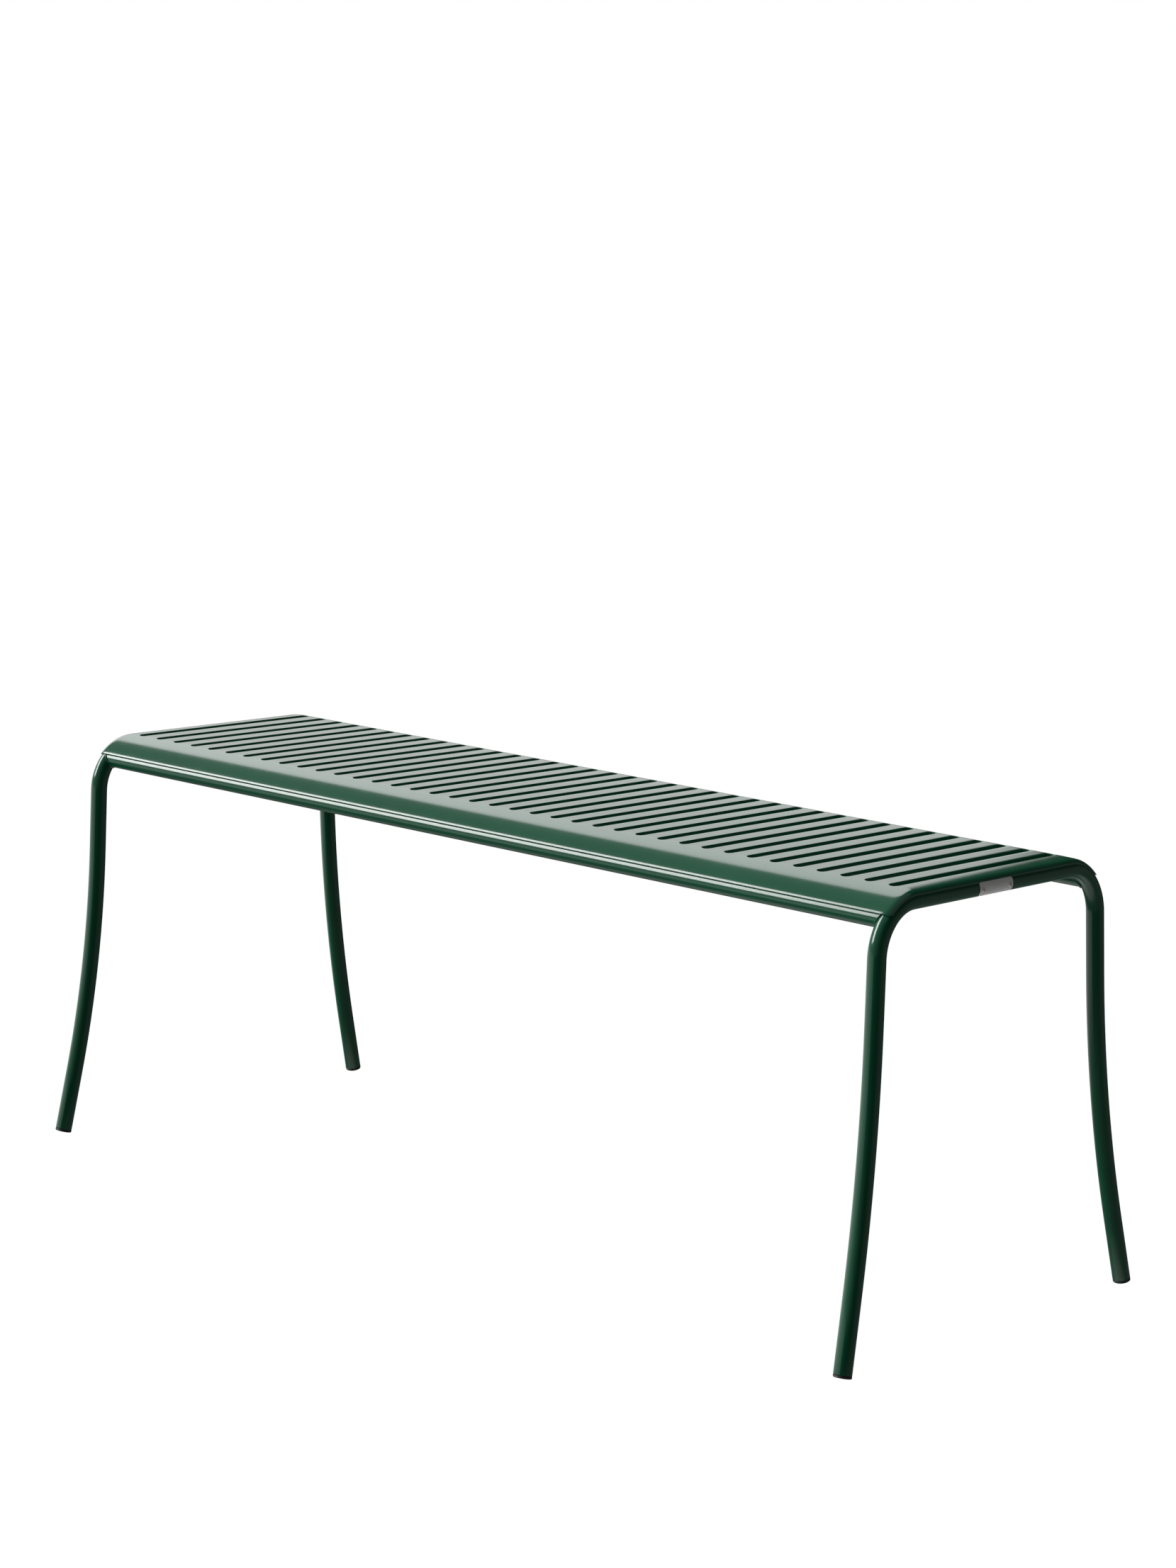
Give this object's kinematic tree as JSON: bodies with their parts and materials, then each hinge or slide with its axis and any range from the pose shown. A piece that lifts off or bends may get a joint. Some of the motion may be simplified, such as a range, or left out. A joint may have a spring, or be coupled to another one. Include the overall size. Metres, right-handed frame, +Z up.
{
  "type": "backless bench",
  "caption": "Backless outdoor bench: a slotted sheet-metal seat with rounded long edges, on two bent round-tube end frames with splayed legs, joined by two rails.",
  "frame": {"origin": "on the floor, under the middle of the seat", "axes": "+X along the bench towards the end with the nameplate, +Y across it to the back, +Z up"},
  "size_m": [1.1434, 0.4712, 0.45],
  "materials": {
    "seat_coat": "dark green satin powder coat",
    "frame_coat": "dark green satin powder coat",
    "rail_coat": "dark green satin powder coat",
    "plug_plastic": "black moulded plastic",
    "plate_metal": "satin, blank",
    "rivet_metal": "satin"
  },
  "bodies": {
    "root": {"seat_panel": "seat_coat", "left_leg_frame": "frame_coat", "right_leg_frame": "frame_coat", "front_rail": "rail_coat", "back_rail": "rail_coat", "foot_plug_front_left": "plug_plastic", "foot_plug_front_right": "plug_plastic", "foot_plug_back_left": "plug_plastic", "foot_plug_back_right": "plug_plastic", "nameplate": "plate_metal", "nameplate_rivet_front": "rivet_metal", "nameplate_rivet_back": "rivet_metal"}
  },
  "joints": []
}
